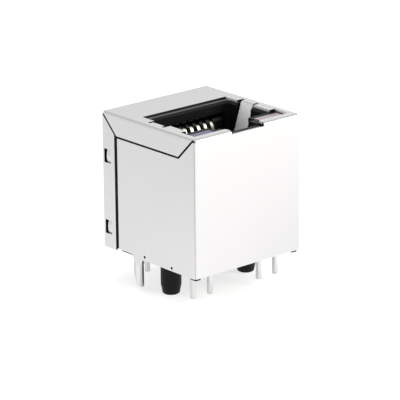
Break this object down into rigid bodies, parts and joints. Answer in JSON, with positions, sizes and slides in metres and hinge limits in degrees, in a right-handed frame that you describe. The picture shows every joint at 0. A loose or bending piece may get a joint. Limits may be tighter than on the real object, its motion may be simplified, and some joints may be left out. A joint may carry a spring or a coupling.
{
  "type": "rj45 board jack",
  "caption": "Shielded vertical modular jack for a circuit board, with a plug port opening upward, indicator lamps, locating posts and solder pins.",
  "frame": {"origin": "on the board face under the housing feet, midway between the two locating posts", "axes": "+Z out of the board and out of the plug port, -Y towards the latch side (front), +X to the right seen from the front"},
  "size_m": [0.016, 0.0163, 0.0202],
  "materials": {
    "tin_plate": "bright tin-plated steel sheet",
    "black_plastic": "fine satin moulding",
    "insert_plastic": "satin moulding",
    "contact_gold": "gold-plated copper alloy wire",
    "left_lens": "clear resin",
    "right_lens": "clear resin",
    "lead_tin": "bright tin-plated wire",
    "board_laminate": "green solder mask on glass-fibre laminate",
    "ferrite": "sintered ferrite",
    "enamelled_wire": "enamelled copper wire",
    "chip_black": "glazed resistor chip",
    "chip_ceramic": "fired ceramic"
  },
  "bodies": {
    "root": {"shield": "tin_plate", "housing": "black_plastic", "contact_insert": "insert_plastic", "contact_1": "contact_gold", "contact_2": "contact_gold", "contact_3": "contact_gold", "contact_4": "contact_gold", "contact_5": "contact_gold", "contact_6": "contact_gold", "contact_7": "contact_gold", "contact_8": "contact_gold", "left_lamp": "left_lens", "right_lamp": "right_lens", "left_lamp_anode": "lead_tin", "left_lamp_cathode": "lead_tin", "right_lamp_anode": "lead_tin", "right_lamp_cathode": "lead_tin", "circuit_board": "board_laminate", "pin_block": "insert_plastic", "signal_pin_1": "lead_tin", "signal_pin_2": "lead_tin", "signal_pin_3": "lead_tin", "signal_pin_4": "lead_tin", "signal_pin_5": "lead_tin", "signal_pin_6": "lead_tin", "signal_pin_7": "lead_tin", "signal_pin_8": "lead_tin", "transmit_core": "ferrite", "receive_core": "ferrite", "transmit_choke_core": "ferrite", "receive_choke_core": "ferrite", "transmit_winding": "enamelled_wire", "receive_winding": "enamelled_wire", "transmit_choke_winding": "enamelled_wire", "receive_choke_winding": "enamelled_wire", "resistor_1": "chip_black", "resistor_2": "chip_black", "resistor_3": "chip_black", "resistor_4": "chip_black", "shield_capacitor": "chip_ceramic"}
  },
  "joints": []
}
